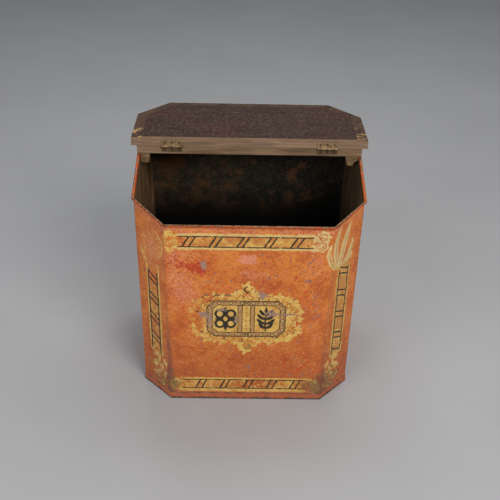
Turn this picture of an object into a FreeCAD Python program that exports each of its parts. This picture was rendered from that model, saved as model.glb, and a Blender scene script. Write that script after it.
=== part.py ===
"""Grocer's shop bin: a canted tin body with a wired rim and a two-part wooden lid.

Millimetres, +Z up, front towards -Y.  The origin is on the ground under the middle of the
whole object, folded lid included.
The lid flap is drawn folded back on the fixed board, which is how the bin is left open.
Every size comes from the "Dims" sheet: driving sizes first, worked-out ones after them.
"""
import FreeCAD
import Part
import Sketcher
import math
import os

doc = FreeCAD.newDocument("ShopBin")

# ---------------------------------------------------------------- dimensions
DRIVING = [
    ("body_width", 413.0, "tin body across the side walls, outside"),
    ("body_depth", 300.0, "tin body from front wall to back wall, outside"),
    ("cant", 58.0, "leg of each 45 degree front corner"),
    ("front_height", 406.0, "floor to the top of the rim at the front"),
    ("rim_slope", 19.0, "degrees the rim climbs from front to hinge line"),
    ("sheet", 0.8, "tinplate"),
    ("bead_radius", 2.5, "outside of the rolled rim"),
    ("wire_radius", 1.45, "wire inside the rolled rim"),
    ("wire_play", 0.03, "between the wire and the sheet rolled round it"),
    ("foot_height", 15.0, "folded skirt of the bottom pan"),
    ("foot_flare", 1.7, "how far the skirt stands out at the ground"),
    ("floor_height", 8.0, "underside of the floor of the bin"),
    ("seam_width", 8.0, "rear corner seams, lapped on the side walls"),
    ("hinge_depth", 164.0, "front wall to the front edge of the fixed board"),
    ("fixed_thickness", 15.0, "rear lid board"),
    ("fixed_width", 421.0, "rear lid board"),
    ("fixed_overhang", 10.0, "rear lid board past the rim at the back"),
    ("flap_thickness", 16.0, "front lid board, in its middle"),
    ("flap_width", 442.0, "front lid board"),
    ("flap_overhang", 7.0, "front lid board past the rim when closed"),
    ("flap_cant_x", 59.0, "corner of the flap, across"),
    ("flap_cant_y", 62.5, "corner of the flap, along"),
    ("rebate_width", 20.0, "step round three sides of the flap, which sits on the rim"),
    ("rebate_depth", 2.0, "depth of that step"),
    ("board_gap", 0.4, "between the two boards with the flap folded back"),
    ("lid_clearance", 0.4, "between the flap and the rim with the flap closed"),
    ("cleat_height", 20.0, "batten under each end of the fixed board"),
    ("cleat_setback", 2.0, "battens start behind the front edge of the board"),
    ("cove_radius", 10.0, "hollow worked on the right-hand batten"),
    ("hinge_spacing", 290.0, "between the middles of the two hinges"),
    ("leaf_length", 38.0, "butt hinge, along the pin"),
    ("leaf_width", 11.0, "pin to the edge of a leaf"),
    ("leaf_thickness", 1.4, "brass leaf"),
    ("knuckle_radius", 2.35, "hinge barrel"),
    ("axis_offset", 2.7, "pin centre in front of the boards"),
    ("pin_radius", 1.1, "hinge pin"),
    ("pin_play", 0.05, "between the pin and the barrel"),
    ("knuckle_gap", 0.3, "between neighbouring knuckles"),
    ("screw_pitch", 13.0, "along a leaf"),
    ("screw_row", 6.9, "pin to the line of screws"),
    ("screw_head", 2.6, "radius of a countersunk head"),
    ("screw_shank", 1.2, "radius"),
    ("screw_length", 11.0, "overall"),
]
DERIVED = [
    ("tan_slope", "=tan(rim_slope * 1deg)", "rise of the rim per unit of depth"),
    ("cos_slope", "=cos(rim_slope * 1deg)", ""),
    ("sin_slope", "=sin(rim_slope * 1deg)", ""),
    ("corner_gain", "=2 - sqrt(2)", "growth of a 45 degree corner per unit of offset"),
    ("half_width", "=body_width / 2", ""),
    ("bead_offset", "=bead_radius - sheet - 0.15", "wire centre outside the wall"),
    ("bead_outset", "=bead_offset + bead_radius", "rolled rim outside the wall"),
    ("flap_reach", "=(hinge_depth - axis_offset + bead_outset) / cos_slope + flap_overhang",
     "pins to the free edge of the flap"),
    ("whole_depth", "=bead_outset + hinge_depth - axis_offset + flap_reach", "flap folded back"),
    ("front_y", "=bead_outset - whole_depth / 2", "outside of the front wall"),
    ("rear_y", "=front_y + body_depth", "outside of the back wall"),
    ("bead_front_y", "=front_y - bead_offset", "wire centre at the front"),
    ("bead_front_z", "=front_height - bead_radius", "wire centre at the front"),
    ("seam_y", "=front_y + hinge_depth", "front edge of the fixed board"),
    ("axis_y", "=seam_y - axis_offset", "hinge pins"),
    ("axis_rise", "=(board_gap / 2 + flap_thickness - rebate_depth + lid_clearance"
     " + bead_radius) / cos_slope", "pins above the wire centre line"),
    ("axis_z", "=bead_front_z + (axis_y - bead_front_y) * tan_slope + axis_rise", "hinge pins"),
    ("fixed_top", "=axis_z - board_gap / 2", ""),
    ("fixed_bottom", "=fixed_top - fixed_thickness", ""),
    ("flap_low", "=axis_z + board_gap / 2", "lower face of the folded flap"),
    ("flap_high", "=flap_low + flap_thickness", "upper face of the folded flap"),
    ("bead_rear_z", "=fixed_bottom - bead_radius - 0.02", "wire centre of the level rim"),
    ("bend_y", "=bead_front_y + (bead_rear_z - bead_front_z) / tan_slope", "slope meets level"),
    ("flap_end_y", "=axis_y + flap_reach", "free edge of the folded flap"),
    ("flap_low_y", "=axis_y + (axis_offset + (flap_low - axis_z) * sin_slope) / cos_slope",
     "bevelled hinge edge of the flap, lower arris"),
    ("flap_high_y", "=axis_y + (axis_offset + (flap_high - axis_z) * sin_slope) / cos_slope",
     "bevelled hinge edge of the flap, upper arris"),
    ("inner_half", "=half_width - sheet", "inside of the side walls"),
    ("cleat_outer", "=inner_half - 0.5", "outer face of the battens"),
    ("knuckle_half", "=leaf_length / 6", "half the length of the middle knuckle"),
]

dims = doc.addObject("Spreadsheet::Sheet", "Dims")
for row, (alias, content, note) in enumerate(DRIVING + DERIVED, start=1):
    dims.set("A%d" % row, alias)
    dims.set("B%d" % row, str(content))
    dims.setAlias("B%d" % row, alias)
    dims.set("C%d" % row, note)
doc.recompute()


def size(alias):
    """The value of one named dimension."""
    return float(getattr(dims, alias))


def bound(text):
    """A formula in dimension names, rewritten so that any object can read it."""
    names = sorted((alias for alias, _, _ in DRIVING + DERIVED), key=len, reverse=True)
    out, pos = "", 0
    while pos < len(text):
        word = ""
        while pos < len(text) and (text[pos].isalnum() or text[pos] == "_"):
            word += text[pos]
            pos += 1
        out += "Dims." + word if word in names else word
        if pos < len(text):
            out += text[pos]
            pos += 1
    return out


# ---------------------------------------------------------------- drawing helpers
def new_body(name):
    body = doc.addObject("PartDesign::Body", name)
    body.Label = name
    return body


def origin_plane(body, role):
    return [item for item in body.Origin.OriginFeatures if item.Role == role][0]


def polygon(body, role, name, corners, height=None):
    """A closed sketch on an origin plane of the body; corners are pairs of formulas."""
    sketch = body.newObject("Sketcher::SketchObject", name)
    sketch.AttachmentSupport = (origin_plane(body, role), [""])
    sketch.MapMode = "FlatFace"
    if height is not None:
        sketch.setExpression("AttachmentOffset.Base.z", bound(height))
    points = []
    for across, along in corners:
        u = float(sketch.evalExpression(bound(across)))
        v = float(sketch.evalExpression(bound(along)))
        points.append(FreeCAD.Vector(u, v, 0))
    count = len(points)
    for i in range(count):
        sketch.addGeometry(Part.LineSegment(points[i], points[(i + 1) % count]), False)
    for i in range(count):
        sketch.addConstraint(Sketcher.Constraint("Coincident", i, 2, (i + 1) % count, 1))
    for i, (across, along) in enumerate(corners):
        for kind, formula, value in (("DistanceX", across, points[i].x),
                                     ("DistanceY", along, points[i].y)):
            index = sketch.addConstraint(Sketcher.Constraint(kind, -1, 1, i, 1, value))
            sketch.setExpression("Constraints[%d]" % index, bound(formula))
    return sketch


def pad(body, sketch, length, midplane=False):
    feature = body.newObject("PartDesign::Pad", sketch.Name + "_pad")
    feature.Profile = sketch
    feature.Midplane = midplane
    feature.setExpression("Length", bound(length))
    doc.recompute()
    return feature


def pocket(body, sketch, length=None, midplane=False):
    """Cut by a depth, or right through both ways when no depth is given."""
    before = body.Shape.Volume
    feature = body.newObject("PartDesign::Pocket", sketch.Name + "_cut")
    feature.Profile = sketch
    if length is None:
        feature.Type = "ThroughAll"
        feature.Midplane = True
    else:
        feature.Midplane = midplane
        feature.setExpression("Length", bound(length))
    doc.recompute()
    if not feature.Shape.Volume < before - 0.01:
        raise RuntimeError("%s removed nothing" % feature.Name)
    return feature


def joined(kind, name, first, *others, refine=False):
    """One boolean of finished pieces: 'Cut' takes one tool, 'MultiFuse' any number."""
    result = doc.addObject("Part::" + kind, name)
    result.Label = name
    if kind == "MultiFuse":
        result.Shapes = [first] + list(others)
    else:
        result.Base = first
        result.Tool = others[0]
    result.Refine = refine
    doc.recompute()
    return result


def copies(name, master, placements):
    """Separate solids of one fastener, gathered in one group."""
    parts = []
    for number, placement in enumerate(placements, start=1):
        part = doc.addObject("Part::Feature", "%s_%d" % (name, number))
        part.Shape = master.Shape.copy()
        part.Placement = placement
        parts.append(part)
    group = doc.addObject("Part::Compound", name)
    group.Label = name
    group.Links = parts
    doc.recompute()
    return group


def placed(x, y, z, axis=(1, 0, 0), angle=0.0):
    return FreeCAD.Placement(FreeCAD.Vector(x, y, z), FreeCAD.Rotation(FreeCAD.Vector(*axis), angle))


def wall_line(offset):
    """Right-hand corners of the plan of the tin, grown by an offset: front, side, rear."""
    leg = "(cant + corner_gain * (%s))" % offset
    half = "(half_width + (%s))" % offset
    front = "(front_y - (%s))" % offset
    return [("%s - %s" % (half, leg), front),
            (half, "%s + %s" % (front, leg)),
            (half, "rear_y + (%s)" % offset)]


def mirrored(corners):
    """The same corners on the left, in the opposite order."""
    return [("-(%s)" % across, along) for across, along in reversed(corners)]


def plan(offset):
    """The whole six-sided plan of the tin, grown by an offset."""
    right = wall_line(offset)
    return right + mirrored(right)


# ---------------------------------------------------------------- tin body
def rail_points():
    """Centre line of the rim wire on the right-hand side, front to rear."""
    offset = size("bead_offset")
    leg = size("cant") + size("corner_gain") * offset
    half = size("half_width") + offset
    front = size("bead_front_y")
    side = front + leg
    low = size("bead_front_z")
    high = size("bead_rear_z")
    return [FreeCAD.Vector(half - leg, front, low),
            FreeCAD.Vector(half, side, low + leg * size("tan_slope")),
            FreeCAD.Vector(half, size("bend_y"), high),
            FreeCAD.Vector(half, size("rear_y") + offset, high)]


def rail(radius):
    """A round bar along the whole closed rim."""
    right = rail_points()
    left = [FreeCAD.Vector(-p.x, p.y, p.z) for p in reversed(right)]
    corners = right + left
    bar = None
    for start, end in zip(corners, corners[1:] + corners[:1]):
        run = end - start
        rod = Part.makeCylinder(radius, run.Length, start, run)
        knob = Part.makeSphere(radius, start)
        bar = rod.fuse(knob) if bar is None else bar.fuse([rod, knob])
    return bar.removeSplitter()


def shape_piece(name, shape):
    piece = doc.addObject("Part::Feature", name)
    piece.Shape = shape
    piece.Placement = FreeCAD.Placement()
    return piece


rim_wire = shape_piece("rim_wire", rail(size("wire_radius")))
roll = rail(size("bead_radius")).cut(rail(size("wire_radius") + size("wire_play")))
split_y = size("rear_y") - size("seam_width")
span = size("body_width")
behind = Part.makeBox(2 * span, span, span, FreeCAD.Vector(-span, split_y, size("bead_rear_z") - span / 2))
front_roll = shape_piece("front_roll", roll.cut(behind))
rear_roll = shape_piece("rear_roll", roll.common(behind))

sheet_end = "rear_y - sheet"
outer_side = wall_line("0")[:2] + [("half_width", sheet_end)]
inner_side = wall_line("-sheet")[:2] + [("half_width - sheet", sheet_end)]
wrap = new_body("wrap_sheet")
channel = (mirrored(outer_side) + outer_side + list(reversed(inner_side))
           + list(reversed(mirrored(inner_side))))
wrap_plan = polygon(wrap, "XY_Plane", "wrap_plan", channel, "sheet")
pad(wrap, wrap_plan, "bead_rear_z - sheet")
slope_line = [("front_y - 20", "bead_front_z + (front_y - 20 - bead_front_y) * tan_slope"),
              ("bend_y", "bead_rear_z"),
              ("bend_y", "bead_rear_z + 20"),
              ("front_y - 20", "bead_rear_z + 20")]
pocket(wrap, polygon(wrap, "YZ_Plane", "wrap_slope", slope_line))
under_roll = "bead_rear_z - bead_radius - 0.3"
corner_room = [("rear_y - seam_width", under_roll), ("rear_y + 1", under_roll),
               ("rear_y + 1", "bead_rear_z + 1"), ("rear_y - seam_width", "bead_rear_z + 1")]
pocket(wrap, polygon(wrap, "YZ_Plane", "wrap_corner_room", corner_room))

back = new_body("back_sheet")
back_plan = [("-half_width", sheet_end), ("half_width", sheet_end),
             ("half_width", "rear_y"), ("-half_width", "rear_y")]
pad(back, polygon(back, "XY_Plane", "back_plan", back_plan, "sheet"), "bead_rear_z - sheet")
lap_plan = [("half_width", "rear_y - seam_width"), ("half_width + sheet", "rear_y - seam_width"),
            ("half_width + sheet", "rear_y + sheet"), ("-half_width - sheet", "rear_y + sheet"),
            ("-half_width - sheet", "rear_y - seam_width"), ("-half_width", "rear_y - seam_width"),
            ("-half_width", "rear_y"), ("half_width", "rear_y")]
laps = new_body("back_laps")
pad(laps, polygon(laps, "XY_Plane", "lap_plan", lap_plan, "foot_height + 1"),
    "bead_rear_z - bead_radius - 1 - foot_height - 1")
lap_relief = [("half_width - seam_width", "foot_height"),
              ("half_width - seam_width", "bead_rear_z"),
              ("seam_width - half_width", "bead_rear_z"),
              ("seam_width - half_width", "foot_height")]
lap_window = polygon(laps, "XZ_Plane", "lap_window", lap_relief)
pocket(laps, lap_window)

pan = new_body("bottom_sheet")
pad(pan, polygon(pan, "XY_Plane", "pan_ring", plan("foot_flare + sheet")), "sheet")
pad(pan, polygon(pan, "XY_Plane", "pan_well", plan("-sheet - 0.05")), "floor_height + sheet")
pocket_sketch = polygon(pan, "XY_Plane", "pan_underside", plan("-2 * sheet - 0.05"), "floor_height")
pocket(pan, pocket_sketch, "floor_height")


def flare(outset_low, outset_high):
    """The six-sided skirt as a solid, leaning out towards the ground."""
    wires = []
    for outset, z in ((outset_low, 0.0), (outset_high, size("foot_height"))):
        corners = []
        for across, along in plan(repr(outset)):
            x = float(pan.evalExpression(bound(across)))
            y = float(pan.evalExpression(bound(along)))
            corners.append(FreeCAD.Vector(x, y, z))
        wires.append(Part.makePolygon(corners + corners[:1]))
    return Part.makeLoft(wires, True, True)


skirt = flare(size("foot_flare") + size("sheet"), size("sheet") + 0.05).cut(
    flare(size("foot_flare"), 0.05))
skirt_piece = shape_piece("pan_skirt", skirt)
bottom_pan = joined("MultiFuse", "bottom_pan", pan, skirt_piece)

# ---------------------------------------------------------------- lid boards
fixed = new_body("fixed_wood")
fixed_back = "rear_y + bead_offset + bead_radius + fixed_overhang"
fixed_plan = [("-fixed_width / 2", "seam_y"), ("fixed_width / 2", "seam_y"),
              ("fixed_width / 2", fixed_back), ("-fixed_width / 2", fixed_back)]
pad(fixed, polygon(fixed, "XY_Plane", "fixed_plan", fixed_plan, "fixed_bottom"), "fixed_thickness")

flap = new_body("flap_wood")
flap_side = [("flap_low_y", "flap_low"), ("flap_end_y", "flap_low"),
             ("flap_end_y", "flap_high"), ("flap_high_y", "flap_high")]
pad(flap, polygon(flap, "YZ_Plane", "flap_side", flap_side), "flap_width", midplane=True)
for sign, side in (("", "right"), ("-", "left")):
    corner = [("%s(flap_width / 2 + 1)" % sign, "flap_end_y - flap_cant_y - flap_cant_y / flap_cant_x"),
              ("%s(flap_width / 2 + 1)" % sign, "flap_end_y + 1"),
              ("%s(flap_width / 2 - flap_cant_x - flap_cant_x / flap_cant_y)" % sign, "flap_end_y + 1")]
    pocket(flap, polygon(flap, "XY_Plane", "flap_corner_" + side, corner, "flap_low + 5"))
STEP_GROWTH = "rebate_width * (sqrt(flap_cant_x ^ 2 + flap_cant_y ^ 2) - %s) / %s"
field = [("flap_width / 2 - rebate_width", "flap_low_y - 1"),
         ("flap_width / 2 - rebate_width",
          "flap_end_y - flap_cant_y - "
          + STEP_GROWTH % ("flap_cant_y", "flap_cant_x")),
         ("flap_width / 2 - flap_cant_x - "
          + STEP_GROWTH % ("flap_cant_x", "flap_cant_y"), "flap_end_y - rebate_width")]
rim_step = [("flap_width / 2 + 1", "flap_low_y - 1"), ("flap_width / 2 + 1", "flap_end_y + 1")]
step_plan = (field + mirrored(field) + [("-(flap_width / 2 + 1)", "flap_low_y - 1"),
                                        ("-(flap_width / 2 + 1)", "flap_end_y + 1")]
             + list(reversed(rim_step)))
pocket(flap, polygon(flap, "XY_Plane", "flap_step", step_plan, "flap_high"), "rebate_depth")

cleat_top = "fixed_bottom - 0.02"
cleat_foot = "fixed_bottom - 0.02 - cleat_height"
cleat_start = "seam_y + cleat_setback"
cleat_length = "rear_y - sheet - 0.5 - seam_y - cleat_setback"


def cleat(name, section):
    """A batten under the fixed board, its end outline running from front to back."""
    body = new_body(name)
    outline = polygon(body, "XZ_Plane", name + "_end", section, "-(%s)" % cleat_start)
    feature = pad(body, outline, cleat_length)
    feature.Reversed = True
    doc.recompute()
    return body


left_wood = cleat("cleat_left_wood", [("-cleat_outer", cleat_top), ("-cleat_outer + 18", cleat_top),
                                      ("-cleat_outer + 16", cleat_foot), ("-cleat_outer + 1", cleat_foot)])
right_wood = cleat("cleat_right_wood", [("cleat_outer", cleat_top), ("cleat_outer - 25", cleat_top),
                                        ("cleat_outer - 20", cleat_foot), ("cleat_outer", cleat_foot)])
cove = doc.addObject("Part::Cylinder", "cove")
cove.setExpression("Radius", bound("cove_radius"))
cove.setExpression("Height", bound("body_depth"))
cove.Placement = placed(0, 0, 0, (1, 0, 0), 90)
cove.setExpression("Placement.Base.x", bound("cleat_outer + 0.5"))
cove.setExpression("Placement.Base.y", bound("rear_y"))
cove.setExpression("Placement.Base.z", bound(cleat_foot))
right_coved = joined("Cut", "cleat_right_coved", right_wood, cove)

# ---------------------------------------------------------------- hinges
def turned(name, rings):
    """A small turned part from (radius, length) steps along +Z; a pair of radii is a cone."""
    top = 0.0
    solid = None
    for radii, length in rings:
        low, high = radii
        if low == high:
            ring = Part.makeCylinder(low, length, FreeCAD.Vector(0, 0, top))
        else:
            ring = Part.makeCone(low, high, length, FreeCAD.Vector(0, 0, top))
        solid = ring if solid is None else solid.fuse(ring)
        top += length
    return shape_piece(name, solid.removeSplitter())


head = size("screw_head")
shank = size("screw_shank")
leaf_t = size("leaf_thickness")
screw_l = size("screw_length")
plain = turned("screw_blank", [((head, shank), leaf_t), ((shank, shank), screw_l - leaf_t - 1.5),
                               ((shank, 0.2), 1.5)])
slot = Part.makeBox(2 * head + 1, 0.6, 0.5, FreeCAD.Vector(-head - 0.5, -0.3, -0.001))
screw = shape_piece("screw_master", plain.Shape.cut(slot))
screw_hole = turned("screw_hole", [((head + 0.05, shank + 0.05), leaf_t + 0.02),
                                   ((shank + 0.05, shank + 0.05), screw_l - leaf_t)])

half_pitch = size("hinge_spacing") / 2
MIDDLES = {"left": -half_pitch, "right": half_pitch}
slope = size("rim_slope")
axis_y = size("axis_y")
axis_z = size("axis_z")


def about_pin(local_y, local_z, lean):
    """A point given from the pin, after leaning the leaf back about it."""
    c, s = math.cos(math.radians(lean)), math.sin(math.radians(lean))
    return axis_y + local_y * c + local_z * s, axis_z - local_y * s + local_z * c


def screw_places(direction, lean, turn_seed):
    """Six screws, three in each of two leaves, each turned by a different amount."""
    places = []
    for middle in sorted(MIDDLES.values()):
        for step in (-1, 0, 1):
            y, z = about_pin(size("axis_offset") - leaf_t, direction * size("screw_row"), lean)
            turn = (turn_seed + 47 * len(places)) % 180
            spin = FreeCAD.Rotation(FreeCAD.Vector(0, 0, 1), turn)
            aim = FreeCAD.Rotation(FreeCAD.Vector(1, 0, 0), -90 - lean)
            x = middle + step * size("screw_pitch")
            places.append(FreeCAD.Placement(FreeCAD.Vector(x, y, z), aim.multiply(spin)))
    return places


fixed_places = screw_places(-1, 0.0, 20)
flap_places = screw_places(1, slope, 75)
hinge_screws_fixed = copies("hinge_screws_fixed", screw, fixed_places)
hinge_screws_flap = copies("hinge_screws_flap", screw, flap_places)
fixed_holes = copies("fixed_screw_holes", screw_hole, fixed_places)
flap_holes = copies("flap_screw_holes", screw_hole, flap_places)


def leaf(name, middle, direction, lean):
    """One hinge leaf: a plate with its knuckles, drawn about the pin and then put in place."""
    length = size("leaf_length")
    third = length / 6
    gap = size("knuckle_gap") / 2
    reach = size("leaf_width")
    off = size("axis_offset")
    barrel = size("knuckle_radius")
    clear = barrel + 0.5
    root = 1.2
    plate = Part.makeBox(length, leaf_t, reach - root, FreeCAD.Vector(-length / 2, off - leaf_t, root))
    if direction < 0:
        knuckles = [(-length / 2, -third - gap), (third + gap, length / 2)]
        notches = [(-third - gap, third + gap)]
    else:
        knuckles = [(-third + gap, third - gap)]
        notches = [(-length / 2 - 1, -third + gap), (third - gap, length / 2 + 1)]
    for start, end in notches:
        notch = Part.makeBox(end - start, 2 * off, clear, FreeCAD.Vector(start, off - leaf_t - 1, -0.1))
        plate = plate.cut(notch)
    for start, end in knuckles:
        tube = Part.makeCylinder(barrel, end - start, FreeCAD.Vector(start, 0, 0), FreeCAD.Vector(1, 0, 0))
        plate = plate.fuse(tube)
    bore = Part.makeCylinder(size("pin_radius") + size("pin_play"), length + 2,
                             FreeCAD.Vector(-length / 2 - 1, 0, 0), FreeCAD.Vector(1, 0, 0))
    plate = plate.cut(bore).removeSplitter()
    if direction < 0:
        plate = plate.mirror(FreeCAD.Vector(0, 0, 0), FreeCAD.Vector(0, 0, 1))
    piece = shape_piece(name + "_plate", plate)
    piece.Placement = placed(middle, axis_y, axis_z, (1, 0, 0), -lean)
    return piece


nodes = {}
for side, middle in MIDDLES.items():
    nodes["hinge_%s_fixed_leaf" % side] = joined(
        "Cut", "hinge_%s_fixed_leaf" % side, leaf("hinge_%s_fixed" % side, middle, -1, 0.0), fixed_holes)
    nodes["hinge_%s_flap_leaf" % side] = joined(
        "Cut", "hinge_%s_flap_leaf" % side, leaf("hinge_%s_flap" % side, middle, 1, slope), flap_holes)
    pin = doc.addObject("Part::Cylinder", "hinge_%s_pin" % side)
    pin.setExpression("Radius", bound("pin_radius"))
    pin.setExpression("Height", bound("leaf_length + 0.6"))
    pin.Placement = placed(0, 0, 0, (0, 1, 0), 90)
    sign = "-" if side == "left" else ""
    pin.setExpression("Placement.Base.x", bound("%shinge_spacing / 2 - leaf_length / 2 - 0.3" % sign))
    pin.setExpression("Placement.Base.y", bound("axis_y"))
    pin.setExpression("Placement.Base.z", bound("axis_z"))
    nodes["hinge_%s_pin" % side] = pin

# ---------------------------------------------------------------- nails and tacks
nail = turned("nail_master", [((1.8, 1.8), 0.6), ((0.9, 0.9), 24.0), ((0.9, 0.1), 1.5)])
nail_hole = turned("nail_hole", [((1.85, 1.85), 0.62), ((0.92, 0.92), 25.6)])
tack = turned("tack_master", [((1.2, 2.2), 0.7), ((2.2, 2.2), 0.2), ((0.8, 0.8), 8.0), ((0.8, 0.1), 1.2)])
tack_hole = turned("tack_hole", [((0.82, 0.82), 10.3)])
nail_rows = (size("seam_y") + 28, size("rear_y") - 26)
board_top = size("fixed_top")
down = [placed(x, y, board_top, (1, 0, 0), 180)
        for x in (8.5 - size("cleat_outer"), size("cleat_outer") - 16) for y in nail_rows]
lid_nails = copies("lid_nails", nail, down)
nail_holes = copies("nail_holes", nail_hole, down)

tack_z = size("fixed_bottom") - 8.0
tack_rows = (size("seam_y") + 40, size("rear_y") - 40)
HEAD = 0.9
inward = []
bores = []
for sign in (-1, 1):
    for y in tack_rows:
        x = sign * (size("half_width") + HEAD + 0.02)
        inward.append(placed(x, y, tack_z, (0, 1, 0), -sign * 90))
        bores.append(placed(x, y, tack_z, (0, 1, 0), -sign * 90))
side_tacks = copies("side_tacks", tack, inward)
tack_holes = copies("tack_holes", tack_hole, bores)

# ---------------------------------------------------------------- finished pieces
wrap_whole = joined("MultiFuse", "wrap_with_rim", wrap, front_roll)
nodes["front_wrap"] = joined("Cut", "front_wrap", wrap_whole, tack_holes)
nodes["back_panel"] = joined("MultiFuse", "back_panel", back, laps, rear_roll, refine=True)
nodes["bottom_pan"] = bottom_pan
nodes["rim_wire"] = rim_wire
fixed_drilled = joined("Cut", "fixed_drilled", fixed, fixed_holes)
nodes["fixed_board"] = joined("Cut", "fixed_board", fixed_drilled, nail_holes)
nodes["flap_board"] = joined("Cut", "flap_board", flap, flap_holes)
left_drilled = joined("Cut", "cleat_left_drilled", left_wood, nail_holes)
nodes["cleat_left"] = joined("Cut", "cleat_left", left_drilled, tack_holes)
right_drilled = joined("Cut", "cleat_right_drilled", right_coved, nail_holes)
nodes["cleat_right"] = joined("Cut", "cleat_right", right_drilled, tack_holes)
nodes["hinge_screws_fixed"] = hinge_screws_fixed
nodes["hinge_screws_flap"] = hinge_screws_flap
nodes["lid_nails"] = lid_nails
nodes["side_tacks"] = side_tacks
doc.recompute()

for item in doc.Objects:
    if "Invalid" in item.State or "Error" in item.State:
        raise RuntimeError("%s did not compute: %s" % (item.Name, item.State))
os.makedirs("parts", exist_ok=True)
for name, item in sorted(nodes.items()):
    shape = item.Shape
    if shape.isNull() or not shape.isValid():
        raise RuntimeError("%s has no valid shape" % name)
    shape.exportStep("parts/%s.step" % name)
    print("%-24s solids %2d  volume %10.1f  %s" % (name, len(shape.Solids), shape.Volume, shape.BoundBox))
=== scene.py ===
"""Looks for the tin shop bin: painted skin, gilt and brush work, aged boards, brass, light and camera.

Lengths are millimetres until a mesh is made, then metres.  The painted skin is laid on the CAD
tin by "unrolling" it: s runs round the wall from the middle of the front, z runs up.
"""
import bpy
import math
import random
import numpy as np
from mathutils import Euler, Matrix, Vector, noise


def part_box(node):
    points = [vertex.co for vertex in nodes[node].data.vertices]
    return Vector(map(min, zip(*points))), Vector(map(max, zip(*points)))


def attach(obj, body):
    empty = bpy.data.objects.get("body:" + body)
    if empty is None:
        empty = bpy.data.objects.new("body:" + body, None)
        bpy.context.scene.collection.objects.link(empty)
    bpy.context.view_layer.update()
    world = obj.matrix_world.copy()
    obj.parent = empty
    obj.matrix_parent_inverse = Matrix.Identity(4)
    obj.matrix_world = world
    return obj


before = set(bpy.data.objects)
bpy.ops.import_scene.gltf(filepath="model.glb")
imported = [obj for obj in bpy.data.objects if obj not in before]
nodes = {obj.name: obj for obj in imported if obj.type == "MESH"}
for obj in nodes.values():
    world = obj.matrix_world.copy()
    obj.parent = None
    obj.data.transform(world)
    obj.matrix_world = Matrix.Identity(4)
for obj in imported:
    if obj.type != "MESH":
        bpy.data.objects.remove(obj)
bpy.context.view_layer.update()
random.seed(7)
MM = 0.001


def mm_box(node):
    low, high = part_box(node)
    return [v * 1000 for v in low], [v * 1000 for v in high]


# ---------------------------------------------------------------- the tin's plan, from the CAD boxes
# RIM_OUTSET is how far the rolled rim stands out of the wall, and SKIN how far the paint layer does
RIM_OUTSET = 4.05
CANT = 58.0
HALF = mm_box("front_wrap")[1][0] - RIM_OUTSET
FRONT = mm_box("front_wrap")[0][1] + RIM_OUTSET
REAR = FRONT + 300.0
RIM_FRONT_Z = 403.5
RIM_REAR_Z = mm_box("rim_wire")[1][2] - 1.45
SLOPE = math.tan(math.radians(19.0))
FOOT_TOP = mm_box("bottom_pan")[1][2]
SKIN = 0.25
FOLD_RADIUS = 3.0
FRONT_HALF = HALF - CANT
CANT_LENGTH = CANT * math.sqrt(2)
SIDE_START = FRONT_HALF + CANT_LENGTH
SKIN_END = SIDE_START + REAR - 8.1 - (FRONT + CANT)


def rim_z(y):
    """Height of the rim's wire above a point of the plan."""
    return min(RIM_FRONT_Z + (y - FRONT + 1.55) * SLOPE, RIM_REAR_Z)


def wall_point(s):
    """Plan point and outward direction of the skin at a distance s from the middle of the front."""
    side = -1.0 if s < 0 else 1.0
    run = abs(s)
    half = HALF + SKIN
    leg = CANT + (2 - math.sqrt(2)) * SKIN
    front = FRONT - SKIN
    tangent = FOLD_RADIUS * math.tan(math.radians(22.5))
    arc = FOLD_RADIUS * math.pi / 4
    diagonal = leg * math.sqrt(2) - 2 * tangent
    x, y, heading = 0.0, front, 0.0
    for length, turn in ((half - leg - tangent, 0.0), (arc, math.pi / 4), (diagonal, 0.0),
                         (arc, math.pi / 4), (1e6, 0.0)):
        step = min(run, length)
        if turn:
            bend = turn * step / length
            x += FOLD_RADIUS * (math.sin(heading + bend) - math.sin(heading))
            y += FOLD_RADIUS * (math.cos(heading) - math.cos(heading + bend))
            heading += bend
        else:
            x += step * math.cos(heading)
            y += step * math.sin(heading)
        run -= step
        if run <= 0:
            break
    return side * x, y, side * math.sin(heading), -math.cos(heading)


def dent(s, z):
    """Gentle unevenness of the sheet, outward, in millimetres."""
    if abs(s) > SIDE_START - 4:
        return 0.0
    p = Vector((s / 95.0, z / 95.0, 3.1))
    q = Vector((s / 31.0, z / 31.0, 8.7))
    value = 0.20 + 0.22 * noise.noise(p) + 0.07 * noise.noise(q)
    return max(0.0, min(0.5, value)) * min(1.0, (SIDE_START - 4 - abs(s)) / 20)


def on_skin(s, z, lift=0.0):
    x, y, nx, ny = wall_point(s)
    out = dent(s, z) + lift
    return (x + nx * out, y + ny * out, z)


def new_mesh(name, vertices, faces, material, body="bin", smooth=True):
    mesh = bpy.data.meshes.new(name)
    mesh.from_pydata([(x * MM, y * MM, z * MM) for x, y, z in vertices], [], faces)
    mesh.materials.append(material)
    if smooth:
        mesh.shade_smooth()
    mesh.update()
    piece = bpy.data.objects.new(name, mesh)
    bpy.context.scene.collection.objects.link(piece)
    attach(piece, body)
    return piece


# ---------------------------------------------------------------- shader building
def rgb(r, g, b):
    """A colour as seen on a screen, 0 to 255, in the renderer's linear terms."""
    linear = [c / 255 / 12.92 if c <= 10.31 else ((c / 255 + 0.055) / 1.055) ** 2.4 for c in (r, g, b)]
    return (*linear, 1.0)


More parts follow.
